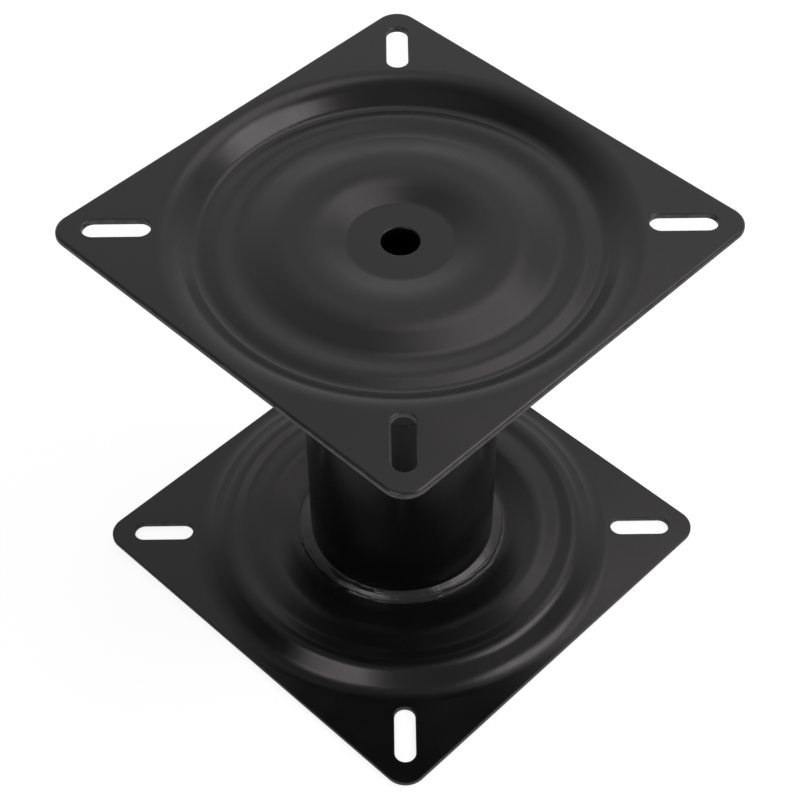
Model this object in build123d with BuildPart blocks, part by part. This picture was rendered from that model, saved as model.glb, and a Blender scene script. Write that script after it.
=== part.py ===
# Boat seat pedestal: a fixed column between two square pressed plates, with a ball swivel
# under the upper one. Millimetres, +Z up. The origin is on the column's axis, in the plane
# of the base plate's underside. A corner of each plate lies on +X, -X, +Y and -Y, so the
# bolt slots run along X and along Y.
import os
from math import atan2, cos, radians, sin, sqrt, tan

from build123d import *

# Whole pedestal
overall_height = 178.0

# Square plates: one pressing, dished side up at the top and dished side down at the base
plate_side = 178.0
plate_corner_radius = 9.0
sheet_thickness = 2.5
slot_width = 8.3
slot_length = 24.5
slot_tip_margin = 9.4
centre_hole_diameter = 14.0

# Pressed rings, from the middle outwards: widths of the bands and depths of the bend lines
well_radius = 19.8
well_depth = 7.9
well_wall_width = 11.7
crown_overhang = 6.5
crown_depth = 4.4
dome_width = 13.4
trough_depth = 7.8
band_width = 8.0
band_outer_depth = 6.4
riser_width = 7.0
groove_depth = 7.7
wall_angle = 39.5

# Bend radii on the dished side
well_bend = 7.0
crown_inner_bend = 35.0
crown_outer_bend = 28.0
trough_bend = 9.0
band_bend = 5.5
groove_bend = 3.5
rim_bend = 14.0
least_bend = 0.3
bend_share_of_flat = 0.45

# Column
tube_diameter = 76.0
tube_wall = 3.0

# Ball race between the top plate and the pan
ball_diameter = 6.35
ball_count = 18
ball_play = 0.15
race_groove_depth = 1.0
pan_thickness = 3.0
pan_hole_diameter = 30.0
cage_width = 9.2
cage_thickness = 1.0
cage_play = 0.2

# Keeper ring that hooks under the pan's rim
keeper_thickness = 1.6
keeper_seat_margin = 0.2
keeper_lip_reach = 8.0
keeper_lip_play = 0.3
keeper_fold_share = 0.9
rim_play = 0.8

# Weld beads
base_weld_height = 4.1
base_weld_width = 5.8
pan_weld_leg = 4.0
tack_leg = 3.0
tack_arc = 9.0
tack_count = 8
bead_bulge = 0.7


def corner_offset(before, corner, after, distance):
    """Where the two lines through a corner meet again once both move sideways."""
    first = (corner - before).normalized().rotate(Axis.Z, -90)
    second = (after - corner).normalized().rotate(Axis.Z, -90)
    return corner + (first + second) * (distance / (1 + first.dot(second)))


def turn_at(before, corner, after):
    """Turn of an outline at a corner in radians, positive to the left."""
    run, onward = corner - before, after - corner
    return atan2(run.X * onward.Y - run.Y * onward.X, run.X * onward.X + run.Y * onward.Y)


def fitted_bend(before, corner, after, radius):
    """A bend radius, held down to what the shorter of its two flats can take."""
    shorter = min((corner - before).length, (after - corner).length)
    limit = bend_share_of_flat * shorter / tan(abs(turn_at(before, corner, after)) / 2)
    return min(radius, limit)


# Bend lines on the dished side as radius and height, the flange's face being height 0
tube_radius = tube_diameter / 2
half_diagonal = plate_side / sqrt(2)
tip_radius = half_diagonal - plate_corner_radius * (sqrt(2) - 1)
slot_centre_radius = tip_radius - slot_tip_margin - slot_length / 2
crown_radius = tube_radius + crown_overhang
trough_radius = crown_radius + dome_width
band_radius = trough_radius + band_width
groove_radius = band_radius + riser_width
rim_radius = groove_radius + groove_depth / tan(radians(wall_angle))
upper_corners = [
    Vector(centre_hole_diameter / 2, -well_depth),
    Vector(well_radius, -well_depth),
    Vector(well_radius + well_wall_width, -crown_depth),
    Vector(crown_radius, -crown_depth),
    Vector(trough_radius, -trough_depth),
    Vector(band_radius, -band_outer_depth),
    Vector(groove_radius, -groove_depth),
    Vector(rim_radius, 0),
    Vector(half_diagonal, 0),
]
bends = [
    well_bend,
    crown_inner_bend,
    crown_outer_bend,
    trough_bend,
    band_bend,
    groove_bend,
    rim_bend,
]
corner_runs = list(zip(upper_corners, upper_corners[1:], upper_corners[2:]))
upper_bends = [fitted_bend(*run, bend) for run, bend in zip(corner_runs, bends)]
lower_corners = (
    [upper_corners[0] - Vector(0, sheet_thickness)]
    + [corner_offset(*run, sheet_thickness) for run in corner_runs]
    + [upper_corners[-1] - Vector(0, sheet_thickness)]
)
lower_bends = [
    max(bend + sheet_thickness * (1 if turn_at(*run) > 0 else -1), least_bend)
    for run, bend in zip(corner_runs, upper_bends)
]

# The dished side of the top plate faces up, and that of the base plate faces down
top_face = Plane.XY.offset(overall_height)
base_face = Plane(origin=(0, 0, 0), x_dir=(1, 0, 0), z_dir=(0, 0, -1))


def press_plate(face):
    """One square plate with its pressed rings, slots and middle hole, dished side on a face."""
    with BuildSketch(Plane(face.origin, x_dir=face.x_dir, z_dir=-face.y_dir)) as section:
        with BuildLine():
            upper = FilletPolyline(*upper_corners, radius=upper_bends)
            lower = FilletPolyline(*lower_corners, radius=lower_bends)
            Line(upper @ 0, lower @ 0)
            Line(upper @ 1, lower @ 1)
        make_face()
    revolve(section.sketch, axis=Axis(face.origin, face.z_dir))
    with BuildSketch(face.offset(-plate_side / 2)) as outline:
        RectangleRounded(plate_side, plate_side, plate_corner_radius, rotation=45)
    extrude(outline.sketch, amount=plate_side, mode=Mode.INTERSECT)
    with BuildSketch(face.offset(-plate_side / 2)) as slots:
        with PolarLocations(slot_centre_radius, 4):
            SlotOverall(slot_length, slot_width)
    extrude(slots.sketch, amount=plate_side, mode=Mode.SUBTRACT)


def ring_profile(*points):
    """A closed outline in the plane of radius and height, turned about the column's axis."""
    with BuildSketch(Plane.XZ) as section:
        with BuildLine():
            Polyline(*points, close=True)
        make_face()
    revolve(section.sketch, axis=Axis.Z)


def bead_ring(toe, second_toe, *roots):
    """A weld bead turned about the column's axis, its face swelling between the two toes."""
    with BuildSketch(Plane.XZ) as section:
        with BuildLine():
            Polyline(second_toe, *roots, toe)
            SagittaArc(toe, second_toe, bead_bulge)
        make_face()
    revolve(section.sketch, axis=Axis.Z)


with BuildPart() as base_plate:
    press_plate(base_face)

with BuildPart() as top_plate:
    press_plate(top_face)

# A ball clears both flanks of the raceway under the top plate by the same play
ball_radius = ball_diameter / 2
riser_angle = atan2(groove_depth - band_outer_depth, riser_width)
band_angle = atan2(trough_depth - band_outer_depth, band_width)
race_lean = tan((riser_angle - band_angle) / 2)
race_reach = sheet_thickness + ball_radius + ball_play
race_drop = race_reach / (cos(band_angle) - sin(band_angle) * race_lean)
pitch_radius = band_radius - race_drop * race_lean
ball_height = overall_height - band_outer_depth - race_drop

# Pan and keeper heights follow from the balls, their radii from the ridge under the plate
pan_top = ball_height - ball_radius - ball_play + race_groove_depth
pan_bottom = pan_top - pan_thickness
lip_top = pan_bottom - keeper_lip_play
lip_bottom = lip_top - keeper_thickness
ridge_corner, ridge_bend = lower_corners[6], lower_bends[5]
ridge_flat = ridge_bend * tan(turn_at(*corner_runs[5]) / 2)
keeper_inner = ridge_corner.X + ridge_flat * cos(radians(wall_angle)) + keeper_seat_margin
keeper_outer = keeper_inner + keeper_thickness
wall_top_inner = overall_height - (rim_radius - keeper_inner) * tan(radians(wall_angle))
sheet_drop = sheet_thickness / cos(radians(wall_angle))
wall_under_outer = wall_top_inner + keeper_thickness * tan(radians(wall_angle)) - sheet_drop
keeper_top = (wall_top_inner + wall_under_outer) / 2
pan_radius = keeper_inner - rim_play

with BuildPart() as swivel_pan:
    ring_profile(
        (pan_hole_diameter / 2, pan_bottom),
        (pan_radius, pan_bottom),
        (pan_radius, pan_top),
        (pan_hole_diameter / 2, pan_top),
    )
    with BuildSketch(Plane.XZ):
        with Locations((pitch_radius, ball_height)):
            Circle(ball_radius + ball_play)
    revolve(axis=Axis.Z, mode=Mode.SUBTRACT)

with BuildPart() as keeper_ring:
    ring_profile(
        (keeper_inner, keeper_top),
        (keeper_inner, lip_top),
        (keeper_outer - keeper_lip_reach, lip_top),
        (keeper_outer - keeper_lip_reach, lip_bottom),
        (keeper_outer, lip_bottom),
        (keeper_outer, keeper_top),
    )
    lip_edge = keeper_ring.edges().filter_by(GeomType.CIRCLE).group_by(Axis.Z)[0]
    fillet(lip_edge.sort_by(SortBy.RADIUS)[-1], radius=keeper_fold_share * keeper_thickness)
    add(top_plate.part, mode=Mode.SUBTRACT)

# Short tacks in the corner between the keeper ring's outside and the plate's sloping wall
tack_run = tack_leg * cos(radians(wall_angle))
tack_rise = tack_leg * sin(radians(wall_angle))
tack_root = keeper_outer - keeper_thickness / 2
with BuildPart() as tack:
    with BuildSketch(Plane.XZ):
        with BuildLine():
            Polyline(
                (keeper_outer, wall_under_outer - tack_leg),
                (keeper_outer + tack_run, wall_under_outer + tack_rise),
                (keeper_outer + tack_run, wall_under_outer + tack_rise + sheet_drop / 2),
                (tack_root, wall_under_outer + sheet_drop / 2),
                (tack_root, wall_under_outer - tack_leg),
                close=True,
            )
        make_face()
    revolve(axis=Axis.Z, revolution_arc=tack_arc)

with BuildPart() as keeper_tacks:
    with PolarLocations(0, tack_count, start_angle=180 / tack_count - tack_arc / 2):
        add(tack.part)
    add(top_plate.part, mode=Mode.SUBTRACT)
    add(keeper_ring.part, mode=Mode.SUBTRACT)

# The column stands on the flat crown of the base plate and carries the pan on its top end
crown_height = crown_depth + sheet_thickness
tube_foot = crown_height - sheet_thickness / 2
with BuildPart() as column_tube:
    ring_profile(
        (tube_radius - tube_wall, tube_foot),
        (tube_radius, tube_foot),
        (tube_radius, pan_bottom),
        (tube_radius - tube_wall, pan_bottom),
    )
    add(base_plate.part, mode=Mode.SUBTRACT)

weld_foot_radius = tube_radius + base_weld_width
with BuildPart() as base_weld:
    bead_ring(
        (tube_radius, crown_height + base_weld_height),
        (weld_foot_radius, crown_height),
        (weld_foot_radius, tube_foot),
        (tube_radius, tube_foot),
    )
    add(base_plate.part, mode=Mode.SUBTRACT)

with BuildPart() as pan_weld:
    bead_ring(
        (tube_radius + pan_weld_leg, pan_bottom),
        (tube_radius, pan_bottom - pan_weld_leg),
        (tube_radius, pan_bottom),
    )

# Cage: a flat ring at the height of the balls' middles, with one round pocket for each ball
with BuildPart() as ball_cage:
    ring_profile(
        (pitch_radius - cage_width / 2, ball_height - cage_thickness / 2),
        (pitch_radius + cage_width / 2, ball_height - cage_thickness / 2),
        (pitch_radius + cage_width / 2, ball_height + cage_thickness / 2),
        (pitch_radius - cage_width / 2, ball_height + cage_thickness / 2),
    )
    with Locations((0, 0, ball_height)):
        with PolarLocations(pitch_radius, ball_count):
            Cylinder(ball_radius + cage_play, 2 * cage_thickness, mode=Mode.SUBTRACT)

pieces = {
    "base_plate": base_plate,
    "base_weld": base_weld,
    "column_tube": column_tube,
    "pan_weld": pan_weld,
    "swivel_pan": swivel_pan,
    "ball_cage": ball_cage,
    "keeper_ring": keeper_ring,
    "keeper_tacks": keeper_tacks,
    "top_plate": top_plate,
}
for number in range(ball_count):
    angle = radians(360 * number / ball_count)
    with BuildPart() as ball:
        with Locations((pitch_radius * cos(angle), pitch_radius * sin(angle), ball_height)):
            Sphere(ball_radius)
    pieces[f"ball_{number + 1:02d}"] = ball

os.makedirs("parts", exist_ok=True)
for name, piece in pieces.items():
    piece.part.label = name
    export_step(piece.part, f"parts/{name}.step")
print("ball pitch radius", round(pitch_radius, 2), "ball height", round(ball_height, 2))
print("slot centre radius", round(slot_centre_radius, 2), "keeper inner", round(keeper_inner, 2))
print("pan", round(pan_bottom, 2), round(pan_top, 2), "lip", round(lip_bottom, 2), round(lip_top, 2))
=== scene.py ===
from math import atan2, ceil, cos, pi, radians, sin, sqrt, tan

import bmesh
import bpy
from mathutils import Matrix, Vector


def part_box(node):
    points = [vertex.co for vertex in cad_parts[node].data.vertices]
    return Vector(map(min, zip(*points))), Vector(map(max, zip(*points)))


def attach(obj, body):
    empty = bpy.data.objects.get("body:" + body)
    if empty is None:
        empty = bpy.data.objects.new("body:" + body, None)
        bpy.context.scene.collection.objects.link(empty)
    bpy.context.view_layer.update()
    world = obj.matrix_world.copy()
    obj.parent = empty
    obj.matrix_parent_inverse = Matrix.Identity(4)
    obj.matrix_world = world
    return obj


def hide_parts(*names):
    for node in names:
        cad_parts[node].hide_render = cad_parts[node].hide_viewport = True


# Boat seat pedestal. Metres, +Z up, the photograph looks along +Y and down.
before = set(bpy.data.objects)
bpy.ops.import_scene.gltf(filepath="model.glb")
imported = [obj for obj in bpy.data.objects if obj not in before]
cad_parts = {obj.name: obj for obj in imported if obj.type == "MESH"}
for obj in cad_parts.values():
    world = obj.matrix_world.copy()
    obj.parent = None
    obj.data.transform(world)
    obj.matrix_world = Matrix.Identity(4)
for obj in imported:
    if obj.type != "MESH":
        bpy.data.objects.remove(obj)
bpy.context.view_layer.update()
mm = 0.001
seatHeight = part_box("top_plate")[1].z
print("stage: frame loaded, the seat face is", round(seatHeight / mm, 1), "mm up")

# Camera: fitted to the plates' corners and slots, for a square picture
cameraPlan = {
    "lens": 85.843,
    "azimuth": -0.429,
    "elevation": 48.522,
    "roll": -0.336,
    "distance": 674.67 * mm,
    "drop": 61.984 * mm,  # how far below the seat plate's middle the lens points, in the picture
    "left": 0.105 * mm,
    "nearest": 10 * mm,
}


def link(thing):
    bpy.context.scene.collection.objects.link(thing)
    return thing


def placeCamera(plan):
    azimuth, elevation, roll = (radians(plan[key]) for key in ("azimuth", "elevation", "roll"))
    ahead = Vector((-sin(azimuth) * cos(elevation), cos(azimuth) * cos(elevation), -sin(elevation)))
    level = ahead.cross(Vector((0, 0, 1))).normalized()
    upright = level.cross(ahead)
    across = level * cos(roll) + upright * sin(roll)
    above = upright * cos(roll) - level * sin(roll)
    aim = Vector((0, 0, seatHeight)) - above * plan["drop"] - across * plan["left"]
    eye = aim - ahead * plan["distance"]
    data = bpy.data.cameras.new("photoCamera")
    data.lens = plan["lens"]
    data.clip_start = plan["nearest"]
    camera = link(bpy.data.objects.new("photoCamera", data))
    turned = Matrix((across, above, -ahead)).transposed().to_4x4()
    camera.matrix_world = Matrix.Translation(eye) @ turned
    bpy.context.scene.camera = camera


placeCamera(cameraPlan)


# Nodes: every tree of the file is built with these
def addNode(tree, kind, inputs=None, **settings):
    node = tree.nodes.new(kind)
    for key, value in settings.items():
        setattr(node, key, value)
    for key, value in (inputs or {}).items():
        if isinstance(value, bpy.types.NodeSocket):
            tree.links.new(value, node.inputs[key])
        else:
            node.inputs[key].default_value = value
    return node


def treeNode(tree, kind, inputs=None, **settings):
    return addNode(tree, kind, inputs, **settings).outputs[0]


def sumUp(tree, operation, *values):
    return treeNode(tree, "ShaderNodeMath", dict(enumerate(values)), operation=operation)


def ownPlace(tree):
    return addNode(tree, "ShaderNodeTexCoord").outputs["Object"]


# Materials
noiseRange = (0.35, 0.65)  # where nearly all values of a noise lie
fineDetail = 3.0
powderCoat = {
    "colour": (0.0055, 0.0054, 0.0054, 1),
    "edgeWearAndHighlightColour": (0.13, 0.127, 0.122, 1),  # where the coat is thin on a cut edge, and also a painted highlight along that edge
    "patchSize": 3.5 * mm,
    "patchLevels": (0.55, 1.0),  # how much of that wear and painted edge highlight shows from patch to patch
    "tint": (1.0, 0.945, 0.965, 1),
    "ior": 1.5,
    "shine": (0.5, 1.0),  # on the plain coat and on a worn edge with its painted highlight
    "roughness": 0.26,
    "roughnessSpread": 0.03,
    "cloudSize": 24 * mm,
    "peelSize": 1.7 * mm,
    "peelDepth": 0.003 * mm,
    "speckSize": 0.28 * mm,
    "speckDepth": 0.0012 * mm,
    "grainSize": 0.9 * mm,
    "grainDepth": 0.0,
}
weldedCoat = {**powderCoat, "roughness": 0.30, "shine": (0.7, 1.0), "grainDepth": 0.006 * mm}
ballFinish = {
    "colour": (0.62, 0.62, 0.63, 1),
    "filmSize": 1.2 * mm,
    "filmDetail": 4.0,
    "roughness": (0.12, 0.26),
}
cageFinish = {
    "colour": (0.71, 0.68, 0.61, 1),
    "roughness": 0.5,
    "grainSize": 0.5 * mm,
    "grainDepth": 0.01 * mm,
}


def startMaterial(name):
    material = bpy.data.materials.new(name)
    material.use_nodes = True
    tree = material.node_tree
    return material, tree, tree.nodes["Principled BSDF"]


def noiseAt(tree, place, size, detail=2.0):
    node = addNode(tree, "ShaderNodeTexNoise", {"Vector": place, "Scale": 1 / size, "Detail": detail})
    return node.outputs["Fac"]


def spread(tree, value, levels, within=noiseRange):
    inputs = {"From Min": within[0], "From Max": within[1], "To Min": levels[0], "To Max": levels[1]}
    return addNode(tree, "ShaderNodeMapRange", {"Value": value, **inputs}).outputs["Result"]


def bumpOn(tree, height, depth, below=None):
    inputs = {"Height": height, "Distance": depth, "Strength": 1.0}
    if below is not None:
        inputs["Normal"] = below
    return addNode(tree, "ShaderNodeBump", inputs).outputs["Normal"]


def makeCoat(name, plan):
    material, tree, shader = startMaterial(name)
    place = ownPlace(tree)
    shader.inputs["IOR"].default_value = plan["ior"]
    shader.inputs["Specular Tint"].default_value = plan["tint"]
    # the edge share lightens the colour on cut edges: partly a thin coat, partly a painted highlight
    # along them
    edge = addNode(tree, "ShaderNodeAttribute", attribute_name="edgeShare").outputs["Fac"]
    patches = spread(tree, noiseAt(tree, place, plan["patchSize"], fineDetail), plan["patchLevels"])
    edgeWearAndHighlight = sumUp(tree, "MULTIPLY", edge, patches)
    inputs = {"Factor": edgeWearAndHighlight, 6: plan["colour"], 7: plan["edgeWearAndHighlightColour"]}
    colour = addNode(tree, "ShaderNodeMix", inputs, data_type="RGBA")
    tree.links.new(colour.outputs[2], shader.inputs["Base Color"])
    tree.links.new(spread(tree, edgeWearAndHighlight, plan["shine"], (0.0, 1.0)), shader.inputs["Specular IOR Level"])
    cloud = noiseAt(tree, place, plan["cloudSize"], fineDetail)
    half = plan["roughnessSpread"]
    gloss = spread(tree, cloud, (plan["roughness"] - half, plan["roughness"] + half))
    tree.links.new(gloss, shader.inputs["Roughness"])
    peel = bumpOn(tree, noiseAt(tree, place, plan["peelSize"]), plan["peelDepth"])
    bump = bumpOn(tree, noiseAt(tree, place, plan["speckSize"]), plan["speckDepth"], peel)
    if plan["grainDepth"]:
        grain = noiseAt(tree, place, plan["grainSize"], fineDetail)
        bump = bumpOn(tree, grain, plan["grainDepth"], bump)
    tree.links.new(bump, shader.inputs["Normal"])
    return material


def makeSteel(name, plan):
    material, tree, shader = startMaterial(name)
    shader.inputs["Base Color"].default_value = plan["colour"]
    shader.inputs["Metallic"].default_value = 1.0
    film = noiseAt(tree, ownPlace(tree), plan["filmSize"], plan["filmDetail"])
    tree.links.new(spread(tree, film, plan["roughness"]), shader.inputs["Roughness"])
    return material


def makeNylon(name, plan):
    material, tree, shader = startMaterial(name)
    shader.inputs["Base Color"].default_value = plan["colour"]
    shader.inputs["Roughness"].default_value = plan["roughness"]
    grain = bumpOn(tree, noiseAt(tree, ownPlace(tree), plan["grainSize"]), plan["grainDepth"])
    tree.links.new(grain, shader.inputs["Normal"])
    return material


coat = makeCoat("blackPowderCoat", powderCoat)
weldCoat = makeCoat("coatedWeld", weldedCoat)
steel = makeSteel("ballSteel", ballFinish)
nylon = makeNylon("cageNylon", cageFinish)
print("stage: materials made")


# Sections are runs of points with a normal each, radius first and height second
def leftOf(direction):
    return Vector((-direction.y, direction.x))


def turnAt(before, corner, after):
    first, second = corner - before, after - corner
    return atan2(first.x * second.y - first.y * second.x, first.dot(second))


def cornerOffset(before, corner, after, distance):
    first = -leftOf((corner - before).normalized())
    second = -leftOf((after - corner).normalized())
    return corner + (first + second) * (distance / (1 + first.dot(second)))


def bendRun(corners, radii, step):
    first = leftOf((corners[1] - corners[0]).normalized())
    run = [(corners[0], first)]
    for before, corner, after, radius in zip(corners, corners[1:], corners[2:], radii):
        along = (corner - before).normalized()
        turn = turnAt(before, corner, after)
        side = 1 if turn > 0 else -1
        centre = corner - along * radius * tan(abs(turn) / 2) + leftOf(along) * radius * side
        count = max(2, ceil(abs(turn) / step))
        for number in range(count + 1):
            angle = turn * number / count
            normal = Matrix.Rotation(angle, 2) @ leftOf(along)
            run.append((centre - normal * radius * side, normal))
    run.append((corners[-1], leftOf((corners[-1] - corners[-2]).normalized())))
    return run


def closedRun(corners, radii, step):
    # starts half way along the closing side, so that every corner is bent
    start = (corners[-1] + corners[0]) / 2
    return bendRun([start] + corners + [start], radii, step)[:-1]


class Form:
    # A mesh in the making, with a normal and an edge share for every point

    def __init__(self):
        self.mesh = bmesh.new()
        self.normals = []
        self.edges = []

    def ring(self, points, edge=0.0):
        made = []
        for place, normal in points:
            made.append(self.mesh.verts.new(place))
            self.normals.append(normal)
            self.edges.append(edge)
        return made

    def skin(self, rings, closed=False):
        # faces from each ring to the next, and where it is closed from the last to the first
        for first, second in zip(rings, rings[1:] + (rings[:1] if closed else [])):
            for number in range(len(first)):
                after = (number + 1) % len(first)
                corners = (first[number], first[after], second[after], second[number])
                self.mesh.faces.new(corners)

    def fill(self, rings):
        links = []
        for ring in rings:
            for number, vert in enumerate(ring):
                links.append(self.mesh.edges.get((vert, ring[(number + 1) % len(ring)])))
        bmesh.ops.triangle_fill(self.mesh, edges=links, use_beauty=True)

    def finish(self, name, place=None, trueNormals=True):
        bmesh.ops.recalc_face_normals(self.mesh, faces=self.mesh.faces)
        data = bpy.data.meshes.new(name)
        self.mesh.to_mesh(data)
        self.mesh.free()
        data.shade_smooth()
        layer = data.attributes.new("edgeShare", "FLOAT", "POINT")
        layer.data.foreach_set("value", self.edges)
        if trueNormals:
            data.normals_split_custom_set_from_vertices([tuple(n) for n in self.normals])
        if place is not None:
            data.transform(place)
        return link(bpy.data.objects.new(name, data))


def turnedPoint(radius, height, angle):
    return Vector((radius * cos(angle), radius * sin(angle), height))


def turnedRing(form, place, normal, count):
    points = []
    for number in range(count):
        angle = 2 * pi * number / count
        points.append((turnedPoint(*place, angle), turnedPoint(*normal, angle)))
    return form.ring(points)


def paint(thing, material):
    thing.data.materials.clear()
    thing.data.materials.append(material)


def dress(thing, body, material, replaced):
    paint(thing, material)
    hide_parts(replaced)
    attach(thing, body)


# The two square plates are one pressing, and the base one is turned over
plate = {
    "side": 178 * mm,
    "cornerRadius": 9 * mm,
    "thickness": 2.5 * mm,
    "holeRadius": 7 * mm,
    "crownDepth": 4.4 * mm,
    "wellDepth": 7.9 * mm,
    # radius, depth below the flange and bend radius of each bend line, in millimetres
    "bendLines": [
        (19.8, 7.9, 7),
        (31.5, 4.4, 35),
        (44.5, 4.4, 28),
        (57.9, 7.8, 14),
        (65.9, 6.4, 12),
        (72.9, 7.7, 5),
        (82.24, 0, 14),
    ],
    "bendShare": 0.45,  # the most of a straight run that one bend may take up
    "leastBend": 0.3 * mm,
    "slotWidth": 8.3 * mm,
    "slotLength": 24.5 * mm,
    "slotCentre": 100.49 * mm,
    "rolledEdge": 1.2 * mm,  # round the outside
    "punchedEdge": 0.7 * mm,  # round the slots and the hole
    "shearedEdge": 0.45 * mm,  # on the raised side of every cut
    "edgeSteps": 5,
    "edgeFade": 4,  # how closely the wear and the painted edge highlight keep to the upright part of an edge
    "segments": 288,
    "bendStep": radians(5),
    "arcSteps": 20,
    "sideSteps": 26,
    "slotSteps": 6,
}


def plateSection(plan):
    depth = plan["wellDepth"]
    upper = [Vector((plan["holeRadius"], -depth))]
    upper += [Vector((radius * mm, -low * mm)) for radius, low, bend in plan["bendLines"]]
    upper += [Vector((plan["side"], 0))]
    runs = list(zip(upper, upper[1:], upper[2:]))
    upperBends, lowerBends = [], []
    for run, line in zip(runs, plan["bendLines"]):
        shorter = min((run[1] - run[0]).length, (run[2] - run[1]).length)
        turn = turnAt(*run)
        bend = min(line[2] * mm, plan["bendShare"] * shorter / tan(abs(turn) / 2))
        upperBends.append(bend)
        grown = bend + plan["thickness"] * (1 if turn > 0 else -1)
        lowerBends.append(max(grown, plan["leastBend"]))
    drop = Vector((0, -plan["thickness"]))
    lower = [upper[0] + drop]
    lower += [cornerOffset(*run, plan["thickness"]) for run in runs]
    lower += [upper[-1] + drop]
    corners = lower[::-1] + upper
    radii = lowerBends[::-1] + [plan["shearedEdge"], plan["punchedEdge"]] + upperBends
    return bendRun(corners, radii, plan["bendStep"])[1:-1]  # as far out as the rim's bend


def straightRun(outline, target, steps):
    # the points between the outline's last one and the target, which itself comes later
    start, normal = outline[-1]
    for number in range(1, steps):
        outline.append((start.lerp(target, number / steps), normal))


def plateOutline(plan):
    half, corner = plan["side"] / 2, plan["cornerRadius"]
    reach = (half - corner) * sqrt(2)
    points = []
    for quarter in range(4):
        middle = quarter * pi / 2
        centre = Vector((reach * cos(middle), reach * sin(middle)))
        for number in range(plan["arcSteps"] + 1):
            angle = middle - pi / 4 + pi / 2 * number / plan["arcSteps"]
            normal = Vector((cos(angle), sin(angle)))
            points.append((centre + normal * corner, normal))
        after = middle + pi / 2
        target = Vector((reach * cos(after), reach * sin(after))) + normal * corner
        straightRun(points, target, plan["sideSteps"])
    return points


def slotOutline(plan, quarter):
    width, straight = plan["slotWidth"] / 2, (plan["slotLength"] - plan["slotWidth"]) / 2
    along = Vector((cos(quarter * pi / 2), sin(quarter * pi / 2)))
    centre = along * plan["slotCentre"]
    points = []
    for end in (1, -1):
        middle = centre + along * straight * end
        for number in range(plan["arcSteps"] + 1):
            angle = quarter * pi / 2 + (0 if end > 0 else pi) - pi / 2 + pi * number / plan["arcSteps"]
            normal = Vector((cos(angle), sin(angle)))
            points.append((middle + normal * width, -normal))
        target = points[-1][0] - along * 2 * straight * end
        straightRun(points, target, plan["slotSteps"])
    return points


def sheetEdge(form, outline, rounding, plan):
    # rings round one cut edge of the flat sheet, from its dished face to its raised face
    rings = []
    steps = plan["edgeSteps"]
    for radius, face, way in ((rounding, 0, 1), (plan["shearedEdge"], -plan["thickness"], -1)):
        turns = range(steps + 1) if way > 0 else range(steps, -1, -1)
        for number in turns:
            angle = pi / 2 * number / steps
            points = []
            for place, normal in outline:
                flat = place - normal * radius * (1 - sin(angle))
                height = face - way * radius * (1 - cos(angle))
                lean = Vector((normal.x * sin(angle), normal.y * sin(angle), way * cos(angle)))
                points.append((Vector((flat.x, flat.y, height)), lean))
            # this edge share sets the lighter edge colour: wear and a painted highlight
            rings.append(form.ring(points, sin(angle) ** plan["edgeFade"]))
    form.skin(rings)
    return rings[0], rings[-1]


def makePlate(name, plan, place):
    form = Form()
    section = plateSection(plan)
    rings = [turnedRing(form, spot, normal, plan["segments"]) for spot, normal in section]
    form.skin(rings)
    loops = [sheetEdge(form, plateOutline(plan), plan["rolledEdge"], plan)]
    for quarter in range(4):
        loops.append(sheetEdge(form, slotOutline(plan, quarter), plan["punchedEdge"], plan))
    form.fill([rings[-1]] + [loop[0] for loop in loops])
    form.fill([rings[0]] + [loop[1] for loop in loops])
    return form.finish(name, place)


topPlate = makePlate("seatPlate", plate, Matrix.Translation((0, 0, seatHeight)))
dress(topPlate, "seat_mount", coat, "top_plate")
basePlate = makePlate("deckPlate", plate, Matrix.Rotation(pi, 4, "X"))
dress(basePlate, "column", coat, "base_plate")
print("stage: plates pressed")

# The column is a plain tube from the pressed base to the swivel's pan
tube = {
    "radius": 38 * mm,
    "wall": 3 * mm,
    "foot": 6.4 * mm,
    "endEdge": 0.4 * mm,
    "segments": 256,
    "bendStep": radians(9),
}


def makeTube(name, plan, top):
    inner, outer = plan["radius"] - plan["wall"], plan["radius"]
    heights = ((inner, plan["foot"]), (inner, top), (outer, top), (outer, plan["foot"]))
    corners = [Vector(corner) for corner in heights]
    run = closedRun(corners, [plan["endEdge"]] * len(corners), plan["bendStep"])
    form = Form()
    rings = [turnedRing(form, spot, normal, plan["segments"]) for spot, normal in run]
    form.skin(rings, closed=True)
    return form.finish(name)


columnTube = makeTube("columnTube", tube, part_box("column_tube")[1].z)
dress(columnTube, "column", coat, "column_tube")
print("stage: column made")

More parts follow.
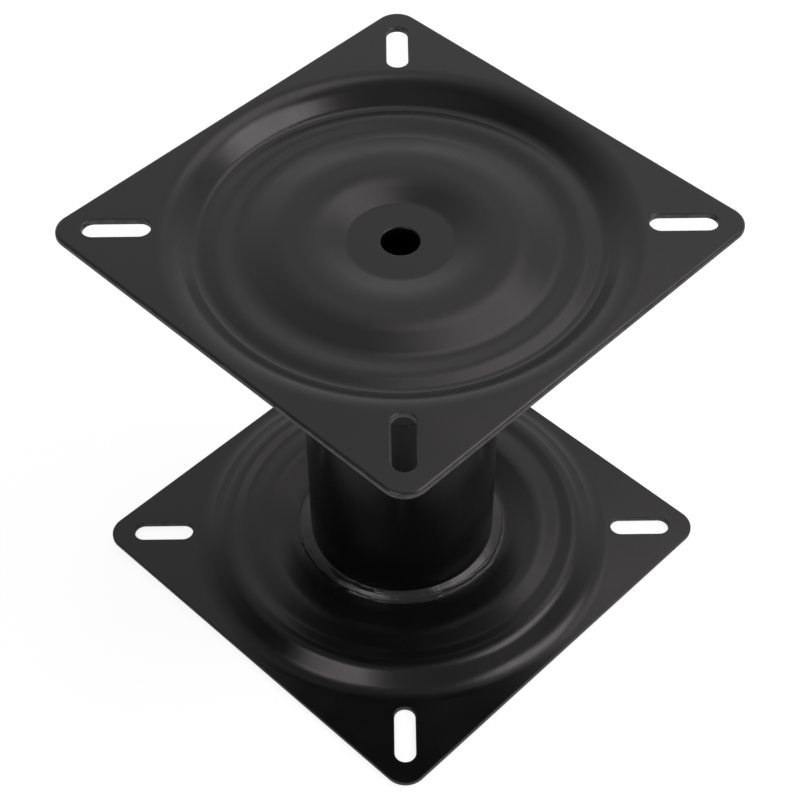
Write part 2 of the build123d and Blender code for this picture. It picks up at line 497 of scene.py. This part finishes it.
# Weld beads: a slightly swollen face between two toes, finished by one tree of nodes
bead = {
    "facePoints": 40,
    "segments": 1080,
    "bulge": 0.35 * mm,
    "sunk": 0.12 * mm,  # how far each toe runs into the metal that it is welded to
    "rootDepth": 0.6 * mm,
    "toeDrop": 0.6 * mm,  # the upper toe's height below the top of the solid's bead
    "reach": 5.2 * mm,
}
beadFinish = {
    "Tube Radius": tube["radius"],
    "Reach": bead["reach"],
    "Widening": 1.0 * mm,
    "Ripple Count": 150.0,
    "Ripple Depth": 0.006 * mm,
    "Ripple Wander": 5.0,
    "Lump Size": 8.0 * mm,
    "Lump Depth": 0.22 * mm,
    "Streak Length": 13.0 * mm,
    "Streak Width": 0.75 * mm,
    "Streak Depth": 0.10 * mm,
    "Grain Size": 1.3 * mm,
    "Groove Wander": 1.0 * mm,
    "Groove Share": 0.85,  # a groove's usual depth, and how much it changes from grain to grain
    "Groove Spread": 0.7,
    "Toe Gash Middle": radians(216),
    "Toe Gash Half Angle": radians(23),
    "Toe Gash Radius": 42.8 * mm,
    "Toe Gash Width": 0.45 * mm,
    "Toe Gash Depth": 1.0 * mm,
    "Upper Gash Middle": radians(237),
    "Upper Gash Half Angle": radians(17),
    "Upper Gash Radius": 39.3 * mm,
    "Upper Gash Width": 0.36 * mm,
    "Upper Gash Depth": 0.8 * mm,
    "Side Groove Middle": radians(-33),
    "Side Groove Half Angle": radians(40),
    "Side Groove Radius": 41.9 * mm,
    "Side Groove Width": 0.28 * mm,
    "Side Groove Depth": 0.5 * mm,
    "Seed": 3.0,
}
grooves = ("Toe Gash", "Upper Gash", "Side Groove")


def swellAt(share):
    # nothing at both ends of a face and 1 half way
    return 4 * share * (1 - share)


def makeBead(name, start, end, root, plan):
    chord = end - start
    outwards = leftOf(chord.normalized())
    spots = []
    for number in range(plan["facePoints"]):
        share = number / (plan["facePoints"] - 1)
        spots.append(start + chord * share + outwards * plan["bulge"] * swellAt(share))
    form = Form()
    rings = [turnedRing(form, spot, outwards, plan["segments"]) for spot in spots + [root]]
    form.skin(rings, closed=True)
    return form.finish(name, trueNormals=False)


def startTree(name, plan):
    # a tree with one named input for each entry of the plan
    tree = bpy.data.node_groups.new(name, "GeometryNodeTree")
    tree.interface.new_socket("Geometry", in_out="INPUT", socket_type="NodeSocketGeometry")
    tree.interface.new_socket("Geometry", in_out="OUTPUT", socket_type="NodeSocketGeometry")
    tree.interface.new_socket("Material", in_out="INPUT", socket_type="NodeSocketMaterial")
    for key in plan:
        tree.interface.new_socket(key, in_out="INPUT", socket_type="NodeSocketFloat")
    return tree, tree.nodes.new("NodeGroupInput").outputs


def endTree(tree, shape, material):
    whole = treeNode(tree, "GeometryNodeRealizeInstances", {"Geometry": shape})
    dressed = treeNode(tree, "GeometryNodeSetMaterial", {"Geometry": whole, "Material": material})
    addNode(tree, "NodeGroupOutput", {"Geometry": dressed})


def lumpsAt(tree, place, size, seed):
    # noise from about -1 to 1
    inputs = {"Vector": place, "W": seed, "Scale": sumUp(tree, "DIVIDE", 1.0, size), "Detail": 2.0}
    value = treeNode(tree, "ShaderNodeTexNoise", inputs, noise_dimensions="4D")
    return sumUp(tree, "MULTIPLY_ADD", value, 2.0, -1.0)


def scaled(tree, vector, factor):
    return treeNode(tree, "ShaderNodeVectorMath", {0: vector, "Scale": factor}, operation="SCALE")


def pushOut(tree, height):
    return scaled(tree, treeNode(tree, "GeometryNodeInputNormal"), height)


def ringParts(tree):
    # a point's place, the three parts of that place, its distance from the axis and its bearing
    place = treeNode(tree, "GeometryNodeInputPosition")
    parts = addNode(tree, "ShaderNodeSeparateXYZ", {"Vector": place}).outputs
    squares = [sumUp(tree, "MULTIPLY", parts[axis], parts[axis]) for axis in (0, 1)]
    radius = sumUp(tree, "SQRT", sumUp(tree, "ADD", *squares))
    return place, parts, radius, sumUp(tree, "ARCTAN2", parts[1], parts[0])


def streaksAt(tree, given, parts, radius):
    # noise drawn out along the run, and fine across the face
    stretch = sumUp(tree, "DIVIDE", 1.0, given["Streak Length"])
    across = sumUp(tree, "DIVIDE", sumUp(tree, "SUBTRACT", radius, parts[2]), given["Streak Width"])
    along = [sumUp(tree, "MULTIPLY", parts[axis], stretch) for axis in (0, 1)]
    place = treeNode(tree, "ShaderNodeCombineXYZ", {"X": along[0], "Y": along[1], "Z": across})
    return lumpsAt(tree, place, 1.0, given["Seed"])


def grooveIn(tree, given, name, angle, radius, wander, broken):
    # a broken line along the run: its depth at each point
    rim = sumUp(tree, "COSINE", given[name + " Half Angle"])
    full = sumUp(tree, "MULTIPLY_ADD", rim, 0.5, 0.5)
    apart = sumUp(tree, "COSINE", sumUp(tree, "SUBTRACT", angle, given[name + " Middle"]))
    inputs = {"Value": apart, "From Min": rim, "From Max": full}
    zone = treeNode(tree, "ShaderNodeMapRange", inputs, interpolation_type="SMOOTHSTEP")
    line = sumUp(tree, "MULTIPLY_ADD", wander, given["Groove Wander"], given[name + " Radius"])
    away = sumUp(tree, "DIVIDE", sumUp(tree, "SUBTRACT", radius, line), given[name + " Width"])
    square = sumUp(tree, "MULTIPLY", away, away)
    trough = sumUp(tree, "EXPONENT", sumUp(tree, "MULTIPLY", square, -1.0))
    depth = sumUp(tree, "MULTIPLY", sumUp(tree, "MULTIPLY", trough, zone), broken)
    return sumUp(tree, "MULTIPLY", depth, given[name + " Depth"])


def widerSides(tree, given, parts, radius, angle):
    # how far a point moves outwards, so that the bead is wider at two sides and narrower between
    share = sumUp(tree, "DIVIDE", sumUp(tree, "SUBTRACT", radius, given["Tube Radius"]), given["Reach"])
    share = sumUp(tree, "MAXIMUM", share, 0.0)
    wide = sumUp(tree, "COSINE", sumUp(tree, "MULTIPLY", angle, 2.0))
    wide = sumUp(tree, "MULTIPLY", sumUp(tree, "MULTIPLY", wide, share), given["Widening"])
    level = treeNode(tree, "ShaderNodeCombineXYZ", {"X": parts[0], "Y": parts[1]})
    return scaled(tree, level, sumUp(tree, "DIVIDE", wide, radius))


def beadTree(plan):
    # faint ripples across the run, lumps, streaks along it, and a few grooves
    tree, given = startTree("beadFinish", plan)
    place, parts, radius, angle = ringParts(tree)
    lumps = lumpsAt(tree, place, given["Lump Size"], given["Seed"])
    grain = lumpsAt(tree, place, given["Grain Size"], given["Seed"])
    streaks = streaksAt(tree, given, parts, radius)
    wander = sumUp(tree, "MULTIPLY", lumps, given["Ripple Wander"])
    phase = sumUp(tree, "MULTIPLY_ADD", angle, given["Ripple Count"], wander)
    height = sumUp(tree, "MULTIPLY", sumUp(tree, "SINE", phase), given["Ripple Depth"])
    height = sumUp(tree, "MULTIPLY_ADD", lumps, given["Lump Depth"], height)
    height = sumUp(tree, "MULTIPLY_ADD", streaks, given["Streak Depth"], height)
    broken = sumUp(tree, "MULTIPLY_ADD", grain, given["Groove Spread"], given["Groove Share"])
    for name in grooves:
        cut = grooveIn(tree, given, name, angle, radius, lumps, broken)
        height = sumUp(tree, "SUBTRACT", height, cut)
    inputs = {0: pushOut(tree, height), 1: widerSides(tree, given, parts, radius, angle)}
    offset = treeNode(tree, "ShaderNodeVectorMath", inputs, operation="ADD")
    moved = treeNode(tree, "GeometryNodeSetPosition", {"Geometry": given["Geometry"], "Offset": offset})
    endTree(tree, moved, given["Material"])
    return tree


def growMesh(thing, tree, plan, material):
    modifier = thing.modifiers.new("finish", "NODES")
    modifier.node_group = tree
    for item in tree.interface.items_tree:
        if item.in_out == "INPUT" and item.name in plan:
            modifier[item.identifier] = plan[item.name]
        if item.in_out == "INPUT" and item.name == "Material":
            modifier[item.identifier] = material
    graph = bpy.context.evaluated_depsgraph_get()
    made = bpy.data.meshes.new_from_object(thing.evaluated_get(graph), depsgraph=graph)
    thing.modifiers.clear()
    thing.data = made
    made.shade_smooth()
    return thing


beadNodes = beadTree(beadFinish)
crownHeight = plate["crownDepth"] + plate["thickness"]
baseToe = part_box("base_weld")[1]
toes = [
    Vector((tube["radius"] - bead["sunk"], baseToe.z - bead["toeDrop"])),
    Vector((tube["radius"] + bead["reach"], crownHeight - bead["sunk"])),
]
root = Vector((tube["radius"] - bead["rootDepth"], crownHeight - bead["rootDepth"]))
baseBead = growMesh(makeBead("baseBead", *toes, root, bead), beadNodes, beadFinish, weldCoat)
dress(baseBead, "column", weldCoat, "base_weld")

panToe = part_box("pan_weld")
toes = [
    Vector((panToe[1].x, panToe[1].z + bead["sunk"])),
    Vector((tube["radius"] - bead["sunk"], panToe[0].z)),
]
root = Vector((tube["radius"] - bead["rootDepth"], panToe[1].z + bead["rootDepth"]))
panFinish = {**beadFinish, "Widening": 0.0, "Seed": 8.0}
panFinish.update({name + " Depth": 0.0 for name in grooves})
panBead = growMesh(makeBead("panBead", *toes, root, bead), beadNodes, panFinish, weldCoat)
dress(panBead, "column", weldCoat, "pan_weld")
print("stage: column welded")

# Tack welds between the keeper ring's outside and the seat plate's sloping wall
tack = {
    "arc": radians(9.6),
    "rings": 27,
    "facePoints": 13,
    "leg": 3.0 * mm,
    "bulge": 0.5 * mm,
    "slope": radians(39.5),  # of the wall
    "leastSwell": 0.04,
    "root": (-0.7 * mm, 0.6 * mm),  # from the corner between the ring and the wall
    "sunkInRing": 0.1 * mm,
    "sunkInWall": 0.12 * mm,
}
tackRow = {
    "Count": 8.0,
    "First Angle": radians(22.5),
    "Step": radians(45),
    "Lump Size": 2.6 * mm,
    "Lump Depth": 0.22 * mm,
    "Grain Size": 0.8 * mm,
    "Grain Depth": 0.05 * mm,
    "Seed": 5.0,
}


def makeTack(name, corner, plan):
    # one lump at bearing zero, that swells from nearly nothing at both ends
    form = Form()
    rings = []
    slope = Vector((cos(plan["slope"]), sin(plan["slope"])))
    for number in range(plan["rings"]):
        share = 2 * number / (plan["rings"] - 1) - 1
        swell = max(plan["leastSwell"], sqrt(1 - share**4))
        angle = share * plan["arc"] / 2
        start = corner + Vector((-plan["sunkInRing"], -plan["leg"] * swell))
        chord = corner + slope * plan["leg"] * swell + Vector((0, plan["sunkInWall"])) - start
        outwards = -leftOf(chord.normalized())
        spots = [corner + Vector(plan["root"])]
        for step in range(plan["facePoints"]):
            along = step / (plan["facePoints"] - 1)
            spots.append(start + chord * along + outwards * plan["bulge"] * swell * swellAt(along))
        normal = turnedPoint(*outwards, angle)
        rings.append(form.ring([(turnedPoint(*spot, angle), normal) for spot in spots]))
    form.skin(rings)
    form.fill([rings[0]])
    form.fill([rings[-1]])
    return form.finish(name, trueNormals=False)


def tackTree(plan):
    tree, given = startTree("tackRow", plan)
    spots = treeNode(tree, "GeometryNodePoints", {"Count": given["Count"]})
    index = treeNode(tree, "GeometryNodeInputIndex")
    bearing = sumUp(tree, "MULTIPLY_ADD", index, given["Step"], given["First Angle"])
    turn = treeNode(tree, "ShaderNodeCombineXYZ", {"Z": bearing})
    inputs = {"Points": spots, "Instance": given["Geometry"], "Rotation": turn}
    row = treeNode(tree, "GeometryNodeInstanceOnPoints", inputs)
    row = treeNode(tree, "GeometryNodeRealizeInstances", {"Geometry": row})
    place = treeNode(tree, "GeometryNodeInputPosition")
    lumps = lumpsAt(tree, place, given["Lump Size"], given["Seed"])
    grain = lumpsAt(tree, place, given["Grain Size"], given["Seed"])
    height = sumUp(tree, "MULTIPLY", lumps, given["Lump Depth"])
    height = sumUp(tree, "MULTIPLY_ADD", grain, given["Grain Depth"], height)
    inputs = {"Geometry": row, "Offset": pushOut(tree, height)}
    endTree(tree, treeNode(tree, "GeometryNodeSetPosition", inputs), given["Material"])
    return tree


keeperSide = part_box("keeper_ring")[1].x
tackCorner = Vector((keeperSide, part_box("keeper_tacks")[0].z + tack["leg"]))
tacks = growMesh(makeTack("keeperTacks", tackCorner, tack), tackTree(tackRow), tackRow, weldCoat)
dress(tacks, "seat_mount", weldCoat, "keeper_tacks")
print("stage: keeper tacked")

# CAD nodes that keep their own mesh
for name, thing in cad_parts.items():
    if name in ("swivel_pan", "keeper_ring"):
        paint(thing, coat)
    if name.startswith("ball_"):
        paint(thing, nylon if name == "ball_cage" else steel)
print("stage: inner pieces finished")

# Floor, background and lights
stage = {
    "floorSize": 6.0,
    "floorGlow": 0.84,
    "floorShade": 0.32,
    "floorColour": 0.35,
    "floorGlossShadedNear": (0.12, 0.55),  # how white it mirrors close to the object, and far off: a painted shade round the object, seen only in reflections
    "floorFar": (0.4, 2.0),
    # the room's light in a direction: a plain share, and what X, Y and Z of the direction add
    "roomLevel": 0.19,
    "roomLean": (0.10, 0.60, 0.12),
    "frontLevel": 0.29,
    "frontLean": 0.42,  # how fast the front falls off to the left
}
white = (1, 1, 1, 1)


def grey(level):
    return (level, level, level, 1)


def mixShaders(tree, factor, first, second):
    return treeNode(tree, "ShaderNodeMixShader", {0: factor, 1: first, 2: second})


def makeFloor(plan):
    mesh = bmesh.new()
    bmesh.ops.create_grid(mesh, x_segments=1, y_segments=1, size=plan["floorSize"] / 2)
    data = bpy.data.meshes.new("floor")
    mesh.to_mesh(data)
    mesh.free()
    floor = link(bpy.data.objects.new("floor", data))
    material, tree = startMaterial("whiteFloor")[:2]
    tree.nodes.clear()
    path = addNode(tree, "ShaderNodeLightPath").outputs
    away = addNode(tree, "ShaderNodeVectorMath", {0: ownPlace(tree)}, operation="LENGTH")
    # in reflections the floor is darker close to the object: painted shade standing in for its shadow
    glossWhiteBeyondShade = spread(tree, away.outputs["Value"], plan["floorGlossShadedNear"], plan["floorFar"])
    mirrored = sumUp(tree, "MULTIPLY", path["Is Glossy Ray"], glossWhiteBeyondShade)
    seen = sumUp(tree, "MAXIMUM", path["Is Camera Ray"], path["Is Transmission Ray"])
    seen = sumUp(tree, "MAXIMUM", seen, mirrored)
    glow = treeNode(tree, "ShaderNodeEmission", {"Color": white, "Strength": plan["floorGlow"]})
    faint = treeNode(tree, "ShaderNodeBsdfDiffuse", {"Color": grey(plan["floorShade"])})
    plain = treeNode(tree, "ShaderNodeBsdfDiffuse", {"Color": grey(plan["floorColour"])})
    bright = treeNode(tree, "ShaderNodeAddShader", {0: glow, 1: faint})
    addNode(tree, "ShaderNodeOutputMaterial", {"Surface": mixShaders(tree, seen, plain, bright)})
    data.materials.append(material)


def makeWorld(plan):
    world = bpy.data.worlds.new("studio")
    bpy.context.scene.world = world
    world.use_nodes = True
    tree = world.node_tree
    tree.nodes.clear()
    way = addNode(tree, "ShaderNodeTexCoord").outputs["Generated"]
    inputs = {0: way, 1: plan["roomLean"]}
    lean = addNode(tree, "ShaderNodeVectorMath", inputs, operation="DOT_PRODUCT").outputs["Value"]
    level = sumUp(tree, "ADD", lean, plan["roomLevel"])
    sideways = addNode(tree, "ShaderNodeSeparateXYZ", {"Vector": way}).outputs["X"]
    leftwards = sumUp(tree, "MINIMUM", sideways, 0.0)
    front = sumUp(tree, "MULTIPLY_ADD", leftwards, plan["frontLean"], plan["frontLevel"])
    level = sumUp(tree, "MAXIMUM", level, sumUp(tree, "MAXIMUM", front, 0.0))
    seen = addNode(tree, "ShaderNodeLightPath").outputs["Is Camera Ray"]
    room = treeNode(tree, "ShaderNodeBackground", {"Color": white, "Strength": level})
    blank = treeNode(tree, "ShaderNodeBackground", {"Color": white, "Strength": 1.0})
    addNode(tree, "ShaderNodeOutputWorld", {"Surface": mixShaders(tree, seen, room, blank)})


# Soft boxes: bearing from the back towards the right and height above the floor in degrees,
# distance, width and height in metres, and how bright their face is
softBoxes = {
    "rightBox": {"bearing": 99, "height": 52, "away": 1.5, "size": (1.0, 0.57), "glow": 3.4},
    "backBox": {"bearing": 34, "height": 64, "away": 1.5, "size": (0.6, 0.7), "glow": 1.3},
    "frontBox": {"bearing": 216, "height": 41, "away": 1.5, "size": (0.81, 0.43), "glow": 3.0},
}


def makeSoftBox(name, plan):
    data = bpy.data.lights.new(name, "AREA")
    data.shape = "RECTANGLE"
    data.size, data.size_y = plan["size"]
    data.energy = plan["glow"] * pi * data.size * data.size_y  # the watts for that brightness
    lamp = link(bpy.data.objects.new(name, data))
    bearing, height = radians(plan["bearing"]), radians(plan["height"])
    towards = Vector((sin(bearing) * cos(height), cos(bearing) * cos(height), sin(height)))
    middle = Vector((0, 0, seatHeight / 2))
    turned = towards.to_track_quat("Z", "Y").to_matrix().to_4x4()
    lamp.matrix_world = Matrix.Translation(middle + towards * plan["away"]) @ turned
    lamp.visible_camera = False


makeFloor(stage)
makeWorld(stage)
for name, plan in softBoxes.items():
    makeSoftBox(name, plan)
view = bpy.context.scene.view_settings
view.view_transform = "Standard"
print("stage: floor and lights set")
